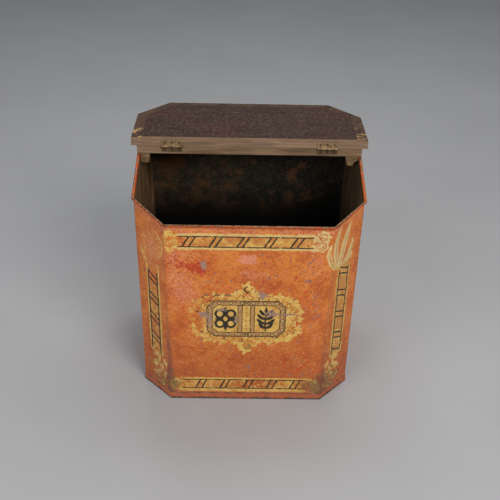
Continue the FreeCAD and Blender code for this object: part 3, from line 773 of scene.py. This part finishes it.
for s, z, r in ROSETTES:
    curl = spiral(s, z, r * 0.78, r * 0.5, 2.0 + s, 0.7)
    ochre.stroke(curl, taper(len(curl), 2.2, 0.6))
for points, widths in FAN:
    edge = [(FRONT_HALF + t + w * 0.12, z - w * 0.1) for (t, z), w in zip(points[3:-3], widths[3:-3])]
    ochre.stroke(edge, taper(len(edge), 1.6, 0.4))
halo = [(-FRONT_HALF - 34 + 27 * math.cos(a), 352 + 30 * math.sin(a)) for a in np.linspace(-1.0, 1.5, 26)]
cream.stroke(halo, taper(26, 1.8, 0.5))
for side in (-1, 1):
    for t, z in ((46, 80), (34, 64), (28, 36), (44, 44), (14, 32)):
        curl = spiral(side * (FRONT_HALF + t), z, 8, 1.2, t, 1.3 * side)
        ochre.stroke(curl, taper(len(curl), 2.8, 0.6))

for k in range(110):
    right = k % 3 != 0
    t, z = random.gauss(18, 20), max(17.5, random.gauss(42, 20))
    if -26 < t < 62 and z < 90:
        s = (FRONT_HALF + t) * (1 if right else -1)
        turn = random.uniform(0, math.pi)
        reach = random.uniform(1.5, 4.5)
        dab = [(s + f * reach * math.cos(turn), z + f * reach * math.sin(turn)) for f in (-1, -0.4, 0.4, 1)]
        soot.stroke(dab, [0.6, random.uniform(1.5, 4.0), random.uniform(1.5, 4.0), 0.6])
soot.piece("soot_marks", M_SOOT)
ink.piece("black_lines", M_INK)
ochre.piece("ochre_curls", M_OCHRE)
wash.piece("border_wash", M_BROWN)
cream.piece("gilt_beads", M_CREAM)

# scratches and nicks: mostly short, seeded, thicker on the right half of the front
red_marks, pale_marks, nicks, dots = Brush(0.07), Brush(0.075), Brush(0.08), Brush(0.09)
for k in range(230):
    s = random.triangular(-140, 142, 118)
    z = random.uniform(60, 348)
    if abs(s - cs) < 86 and abs(z - cz) < 58:
        continue
    angle = random.choice((random.gauss(0.3, 0.5), random.gauss(1.5, 0.4)))
    length = random.choice((3, 4, 5, 7, 12)) * random.uniform(0.6, 1.2)
    ds, dz = math.cos(angle) * length / 2, math.sin(angle) * length / 2
    middle = (s + random.uniform(-1, 1), z + random.uniform(-1, 1))
    mark = curve([(s - ds, z - dz), middle, (s + ds, z + dz)], 4)
    if k % 5 < 2:
        red_marks.stroke(mark, taper(len(mark), random.uniform(1.2, 2.8), 0.3))
    elif k % 5 == 2:
        pale_marks.stroke(mark, taper(len(mark), random.uniform(0.7, 1.3), 0.2))
    else:
        reach = min(1.0, 4.5 / length)
        blot = [(s + (p - s) * reach, z + (q - z) * reach) for p, q in mark]
        nicks.stroke(blot, taper(len(blot), random.uniform(2.4, 4.6), 1.2))
        dots.stroke(blot[3:6], [0.5, random.uniform(1.0, 2.0), 0.5])
for target, wide, points in ((red_marks, 2.2, [(94, 64), (106, 80), (119, 97)]),
                             (red_marks, 2.4, [(124, 203), (135, 206)]),
                             (nicks, 5.5, [(121, 238), (126, 239)]),
                             (nicks, 7.0, [(2, 80), (8, 86)])):
    line = curve(points, 5)
    target.stroke(line, taper(len(line), wide, 0.4))
red_marks.piece("red_scratches", M_RED)
pale_marks.piece("pale_scratches", M_PALE)
nicks.piece("grey_nicks", M_NICK)
dots.piece("nick_dots", M_INK)


# ---------------------------------------------------------------- CAD nodes: tin
def outside_of(g, margin):
    """1 where a point lies further out than the tin's plan less a margin in millimetres, else 0."""
    x, y = g.math("ABSOLUTE", g.axis("X")), g.axis("Y")
    over = g.math("SUBTRACT", x, HALF * MM)
    over = g.math("MAXIMUM", over, g.math("SUBTRACT", FRONT * MM, y))
    over = g.math("MAXIMUM", over, g.math("SUBTRACT", y, REAR * MM))
    cant = g.math("SUBTRACT", g.math("SUBTRACT", x, y), (HALF - FRONT - CANT) * MM)
    over = g.math("MAXIMUM", over, g.math("MULTIPLY", cant, math.sqrt(0.5)))
    return g.band(over, -(margin + 0.1) * MM, -(margin - 0.1) * MM)


def tin_node_recipe(g):
    """Inside of the bin black, darkened low down as painted shade and lightened higher up, and more at the
    left, as painted light; rim half bare, anything else outside painted.
    """
    paint = use(g, PAINT)
    x, y, z = g.axis("X"), g.axis("Y"), g.axis("Z")
    rise = g.math("MULTIPLY", g.math("SUBTRACT", y, (FRONT - 1.55) * MM), SLOPE)
    line = g.math("MINIMUM", g.math("ADD", rise, RIM_FRONT_Z * MM), RIM_REAR_Z * MM)
    rim = g.band(g.math("SUBTRACT", z, line), -0.0034, -0.0026)
    patch = g.noise(18, 4.0, 0.65, g.place(shift=(2, 9, 4)))
    tone = g.noise(45, 5.0, 0.75)
    # painted shade: low is near black, for the lower inside where light does not reach
    low = g.ramp(tone, [(0.3, 2, 2, 1), (0.55, 4, 4, 3), (0.8, 10, 8, 5)])
    lit = g.ramp(tone, [(0.3, 28, 27, 21), (0.5, 46, 42, 33), (0.7, 66, 56, 42), (0.85, 84, 67, 48)])
    high = g.band(z, 0.24, 0.43)
    # painted light: lit colours the upper inside (high) and pale its lighter left part, as if lit; rust and
    # grit are kept to the upper part too
    pale = g.ramp(tone, [(0.3, 46, 42, 33), (0.5, 78, 70, 55), (0.7, 114, 96, 72), (0.85, 136, 108, 78)])
    black = g.mix(high, low, g.mix(g.band(x, 0.10, -0.16), lit, pale))
    rust = g.math("MULTIPLY", g.band(g.math("SUBTRACT", patch, g.math("MULTIPLY", x, 0.5)), 0.50, 0.62), high)
    black = g.mix(g.math("MULTIPLY", rust, 0.8), black, rgb(112, 70, 40))
    grit = g.noise(330, 4.0, 0.8)
    black = g.mix(g.math("MULTIPLY", g.band(grit, 0.57, 0.66, 0.0, 0.8), high), black, rgb(140, 126, 102))
    streaks = g.noise(9, 4.0, 0.6, g.place(scale=(30, 18, 1.2)))
    wall = g.ramp(streaks, [(0.32, 64, 47, 34), (0.5, 114, 86, 60), (0.68, 150, 120, 86)])
    side = g.band(x, -0.198, -0.204, 0.45, 0.9)
    side = g.math("MULTIPLY", side, g.band(g.math("ABSOLUTE", x), 0.198, 0.204))
    black = g.mix(g.math("MULTIPLY", side, g.band(z, 0.10, 0.36)), black, wall)
    metal = g.ramp(g.noise(200, 3.0), [(0.35, 92, 66, 48), (0.6, 138, 104, 80), (0.8, 186, 148, 112)])
    uneven = g.noise(90, 4.0, 0.7, g.place(shift=(7, 1, 1)))
    up = g.math("ADD", g.math("MULTIPLY", g.facing("Z"), 0.34), uneven)
    up = g.math("SUBTRACT", up, g.band(y, -0.118, -0.098, 0.0, 0.16))
    worn_rim = g.band(up, 0.58, 0.74)
    rim_colour = g.mix(worn_rim, g.mix(0.55, paint.outputs[0], rgb(166, 48, 26)), metal)
    colour = g.mix(rim, black, rim_colour)
    outer = g.math("MULTIPLY", outside_of(g, 0.3), g.math("SUBTRACT", 1.0, rim))
    colour = g.mix(outer, colour, g.mix(0.3, paint.outputs[0], rgb(98, 46, 30)))
    shine = g.math("MULTIPLY", g.math("MULTIPLY", rim, worn_rim), 0.75)
    rough = g.mix(rim, (0.7, 0.7, 0.7, 1), g.mix(worn_rim, (0.5, 0.5, 0.5, 1), (0.34, 0.34, 0.34, 1)))
    return colour, rough, shine, g.bump(g.noise(160, 4.0, 0.7), 0.0006, 0.5)


def back_recipe(g):
    """Outside of the back panel: plain worn paint, darker and dirtier than the front."""
    colour, rough, metal, normal = tin_node_recipe(g)
    paint = use(g, PAINT)
    outside = g.mix(0.35, paint.outputs[0], rgb(98, 46, 30))
    scuff = g.noise(14, 5.0, 0.7, g.place(scale=(1, 1, 0.25), shift=(3, 0, 6)))
    outside = g.mix(g.band(scuff, 0.55, 0.70, 0.0, 0.7), outside, rgb(64, 44, 36))
    below = g.band(g.axis("Z"), (RIM_REAR_Z - 2.4) * MM, (RIM_REAR_Z - 3.4) * MM)
    return g.mix(g.math("MULTIPLY", below, outside_of(g, 0.3)), colour, outside), rough, metal, normal


def foot_recipe(g):
    """The turned-out foot: painted, rubbed and darkened at its lower edge as painted shadow where it meets
    the floor; black inside, rusty underneath.
    """
    paint = use(g, PAINT)
    wear = g.noise(110, 4.0, 0.7, g.place(shift=(8, 8, 1)))
    z = g.axis("Z")
    bare = g.ramp(g.noise(70, 3.0), [(0.35, 92, 66, 50), (0.6, 138, 104, 82), (0.8, 176, 138, 112)])
    level = g.math("ADD", wear, g.band(z, 0.0085, 0.002, 0.0, 0.16))
    level = g.math("ADD", level, g.band(z, 0.012, 0.0145, 0.0, 0.30))
    colour = g.mix(0.45, paint.outputs[0], rgb(186, 100, 76))
    colour = g.mix(g.band(level, 0.53, 0.74), colour, bare)
    # painted shadow: the lowest few millimetres of the foot darkened, along a ragged edge
    edge = g.math("SUBTRACT", z, g.math("MULTIPLY", wear, 0.006))
    colour = g.mix(g.band(edge, 0.0008, -0.0022, 0.0, 0.85), colour, rgb(66, 48, 38))
    inside = g.ramp(g.noise(30, 4.0, 0.7), [(0.35, 10, 8, 7), (0.6, 26, 20, 15), (0.8, 58, 40, 26)])
    under = g.ramp(g.noise(22, 5.0, 0.75), [(0.3, 30, 26, 22), (0.5, 62, 50, 40), (0.65, 104, 70, 46),
                                           (0.8, 136, 104, 78)])
    inside = g.mix(g.band(g.facing("Z"), -0.3, -0.7), inside, under)
    return g.mix(outside_of(g, 0.75), inside, colour), 0.55, 0.1, g.bump(wear, 0.0008, 0.5)


# ---------------------------------------------------------------- wood, brass and iron
def wood_grain(g, stops, along=(3.2, 70, 70), shift=(0, 0, 0)):
    warp = g.noise(6, 2.0, 0.5, g.place(scale=(1, 1, 1), shift=shift))
    where = g.node("ShaderNodeVectorMath", operation="ADD")
    g.feed(where.inputs[0], g.place(scale=along, shift=shift))
    g.feed(where.inputs[1], warp)
    grain = g.noise(2.4, 6.0, 0.72, where.outputs[0], 0.4)
    colour = g.ramp(grain, stops)
    pores = g.noise(1.0, 3.0, 0.7, g.place(scale=(45, 900, 900), shift=shift))
    return colour, grain, pores


def board_recipe(raw, face, level=None, rebate=None):
    """Raw wood on the edges and a darker finished face; level is the height of the upper face."""
    def recipe(g):
        colour, grain, pores = wood_grain(g, raw)
        faced, _, _ = wood_grain(g, face, (2.6, 34, 34), (5, 1, 2))
        flat = g.band(g.math("ABSOLUTE", g.facing("Z")), 0.70, 0.85)
        blot = g.noise(16, 4.0, 0.65, g.place(shift=(1, 4, 4)))
        faced = g.mix(g.band(blot, 0.5, 0.72, 0.0, 0.55), faced, rgb(70, 48, 40))
        faced = g.mix(g.band(g.noise(7, 2.0, 0.5, g.place(shift=(6, 2, 0))), 0.50, 0.68, 0.0, 0.55),
                      faced, rgb(74, 34, 26))
        dust = g.noise(210, 5.0, 0.85)
        faced = g.mix(g.band(dust, 0.52, 0.66, 0.0, 0.65), faced, rgb(132, 108, 90))
        faced = g.mix(g.band(dust, 0.47, 0.36, 0.0, 0.7), faced, rgb(24, 14, 10))
        scuff = g.noise(26, 4.0, 0.7, g.place(scale=(1, 3.2, 1), shift=(3, 7, 7)))
        faced = g.mix(g.band(scuff, 0.62, 0.74, 0.0, 0.4), faced, rgb(140, 116, 98))
        if rebate is not None:
            step = g.band(g.axis("Z"), (level - 1.2) * MM, (level - 1.7) * MM)
            low = g.band(g.axis("Z"), (level - 8) * MM, (level - 6) * MM)
            band = g.math("MULTIPLY", step, low)
            near = g.math("MULTIPLY", g.band(g.math("ABSOLUTE", g.axis("X")), 0.19, 0.21),
                          g.band(g.axis("Y"), 0.075, 0.02))
            fleck = g.noise(95, 3.0, 0.7, g.place(shift=(0, 6, 2)))
            fleck = g.math("ADD", fleck, g.math("MULTIPLY", near, 0.14))
            shelf = g.mix(g.band(g.noise(34, 4.0, 0.7), 0.40, 0.66), rebate, rgb(56, 38, 30))
            shelf = g.mix(g.band(fleck, 0.66, 0.72, 0.0, 0.9), shelf, rgb(186, 148, 92))
            faced = g.mix(band, faced, shelf)
        colour = g.mix(flat, colour, faced)
        height = g.math("ADD", g.math("MULTIPLY", grain, 0.6), g.math("MULTIPLY", pores, 0.5))
        rough = g.band(g.noise(24, 3.0), 0.3, 0.7, 0.46, 0.68)
        return colour, rough, 0.0, g.bump(height, 0.0007, 0.6)
    return recipe


RAW = [(0.28, 80, 58, 42), (0.45, 122, 95, 73), (0.60, 140, 112, 88), (0.78, 162, 134, 106)]
RAW_DARK = [(0.30, 84, 62, 44), (0.48, 124, 98, 72), (0.62, 146, 118, 90), (0.8, 164, 136, 106)]
FACE = [(0.30, 34, 20, 14), (0.50, 56, 34, 24), (0.68, 70, 44, 32), (0.85, 92, 64, 48)]
VARNISH = [(0.30, 48, 24, 18), (0.50, 74, 36, 26), (0.70, 92, 48, 34), (0.85, 108, 64, 46)]
BATTEN = [(0.30, 76, 56, 38), (0.48, 118, 92, 64), (0.64, 144, 114, 82), (0.8, 166, 138, 104)]
flap_top = mm_box("flap_board")[1][2]


def batten_recipe(g):
    colour, grain, pores = wood_grain(g, BATTEN, (70, 3.2, 70))
    return colour, 0.68, 0.0, g.bump(g.math("ADD", grain, pores), 0.0007, 0.6)


def brass_recipe(g):
    tarnish = g.noise(140, 4.0, 0.7)
    colour = g.ramp(tarnish, [(0.30, 76, 60, 40), (0.45, 124, 98, 64), (0.60, 152, 124, 84),
                              (0.80, 178, 152, 112)])
    dirt = g.noise(420, 3.0, 0.7, g.place(shift=(2, 2, 9)))
    colour = g.mix(g.band(dirt, 0.56, 0.68, 0.0, 0.7), colour, rgb(64, 52, 38))
    # painted shade, partly dirt: the leaves below the hinge axis darkened, standing for the barrel's shadow
    # and their deeper mortises
    low = g.band(g.axis("Z"), (AXIS_Z + 0.5) * MM, (AXIS_Z - 2.5) * MM, 0.0, 0.5)
    colour = g.mix(low, colour, rgb(84, 68, 48))
    return colour, g.band(tarnish, 0.3, 0.7, 0.6, 0.42), 0.45, g.bump(dirt, 0.0004, 0.6)


def iron_recipe(g):
    rust = g.noise(700, 3.0, 0.7)
    colour = g.ramp(rust, [(0.3, 44, 30, 22), (0.5, 84, 56, 38), (0.7, 122, 88, 62), (0.85, 150, 126, 102)])
    return colour, 0.55, 0.5, g.bump(rust, 0.0004, 0.8)


AXIS_Z = (mm_box("hinge_left_pin")[0][2] + mm_box("hinge_left_pin")[1][2]) / 2
M_TIN = material("rim_and_inside", tin_node_recipe, 0.12)
M_BACK = material("back_tin", back_recipe, 0.12)
M_FOOT = material("foot_tin", foot_recipe, 0.35)
M_WIRE = material("rim_wire_steel", iron_recipe)
M_FLAP = material("flap_wood", board_recipe(RAW, FACE, flap_top, rgb(84, 60, 44)), 0.3)
M_FIXED = material("fixed_board_wood", board_recipe(RAW_DARK, VARNISH), 0.4)
M_BATTEN = material("batten_wood", batten_recipe, 0.3)
M_BRASS = material("tarnished_brass", brass_recipe)
M_IRON = material("rusty_iron", iron_recipe)

# material and rounding of the edges in millimetres; anything not named is a hinge part in brass
FINISH = {"front_wrap": (M_TIN, 0), "back_panel": (M_BACK, 0), "bottom_pan": (M_FOOT, 0),
          "rim_wire": (M_WIRE, 0), "fixed_board": (M_FIXED, 0.9), "flap_board": (M_FLAP, 0.8),
          "cleat_left": (M_BATTEN, 0.6), "cleat_right": (M_BATTEN, 0.6),
          "hinge_screws_fixed": (M_IRON, 0), "hinge_screws_flap": (M_IRON, 0),
          "lid_nails": (M_IRON, 0), "side_tacks": (M_IRON, 0)}
for name, node in nodes.items():
    paint, bevel = FINISH.get(name, (M_BRASS, 0.2))
    node.data.materials.clear()
    node.data.materials.append(paint)
    if bevel:
        rounding = node.modifiers.new("worn_edges", "BEVEL")
        rounding.width = bevel * MM
        rounding.segments = 2
        rounding.limit_method = "ANGLE"
        rounding.angle_limit = math.radians(35)


# ---------------------------------------------------------------- floor, light and camera
def floor_recipe(g):
    colour = g.ramp(g.noise(3.0, 3.0), [(0.3, 173, 173, 174), (0.7, 178, 178, 179)])
    return colour, 0.75, 0.0, None


M_FLOOR = material("studio_floor", floor_recipe, 0.2)
# the floor's section, radius and height in metres: flat, then turning up all round
profile = [(0.0, 0.0), (1.2, 0.0), (3.2, 0.0), (3.9, 0.06), (4.5, 0.28), (4.9, 0.75), (5.05, 1.5), (5.1, 3.4)]
SECTORS = 96
around = [(math.cos(2 * math.pi * k / SECTORS), math.sin(2 * math.pi * k / SECTORS)) for k in range(SECTORS)]
floor_mesh = bpy.data.meshes.new("studio_floor")
floor_mesh.from_pydata([(r * c, r * s, z) for r, z in profile for c, s in around], [],
                       [(i + k, i + (k + 1) % SECTORS, i + SECTORS + (k + 1) % SECTORS, i + SECTORS + k)
                        for i in range(0, SECTORS * (len(profile) - 1), SECTORS) for k in range(SECTORS)])
floor_mesh.materials.append(M_FLOOR)
floor_mesh.shade_smooth()
floor = bpy.data.objects.new("studio_floor", floor_mesh)
bpy.context.scene.collection.objects.link(floor)


def softbox(name, place, target, size, power, colour=(1, 1, 1)):
    light = bpy.data.lights.new(name, "AREA")
    light.shape = "RECTANGLE"
    light.size, light.size_y = size
    light.energy = power
    light.color = colour
    lamp = bpy.data.objects.new(name, light)
    lamp.location = place
    lamp.rotation_euler = (Vector(target) - Vector(place)).to_track_quat("-Z", "Y").to_euler()
    bpy.context.scene.collection.objects.link(lamp)


softbox("key", (1.3, -2.3, 2.4), (0, 0, 0.25), (1.6, 1.3), 66, (1.0, 0.985, 0.96))
softbox("fill", (-1.8, -2.0, 1.5), (0, 0, 0.2), (1.6, 1.4), 26, (0.96, 0.98, 1.0))
softbox("top", (0.2, 0.9, 2.6), (0, 0, 0.3), (1.8, 1.0), 22)
world = bpy.data.worlds.new("studio")
world.use_nodes = True
world.node_tree.nodes["Background"].inputs[0].default_value = (0.80, 0.84, 0.90, 1)
world.node_tree.nodes["Background"].inputs[1].default_value = 0.32
bpy.context.scene.world = world
bpy.context.scene.view_settings.view_transform = "Standard"

camera_data = bpy.data.cameras.new("camera")
camera_data.sensor_width = 36.0
camera_data.lens = 54.34
camera = bpy.data.objects.new("camera", camera_data)
camera.location = (-0.0179, -1.2936, 1.0759)
camera.rotation_euler = Euler((math.radians(57.335), math.radians(-1.163), math.radians(-0.275)), "XYZ")
bpy.context.scene.collection.objects.link(camera)
bpy.context.scene.camera = camera
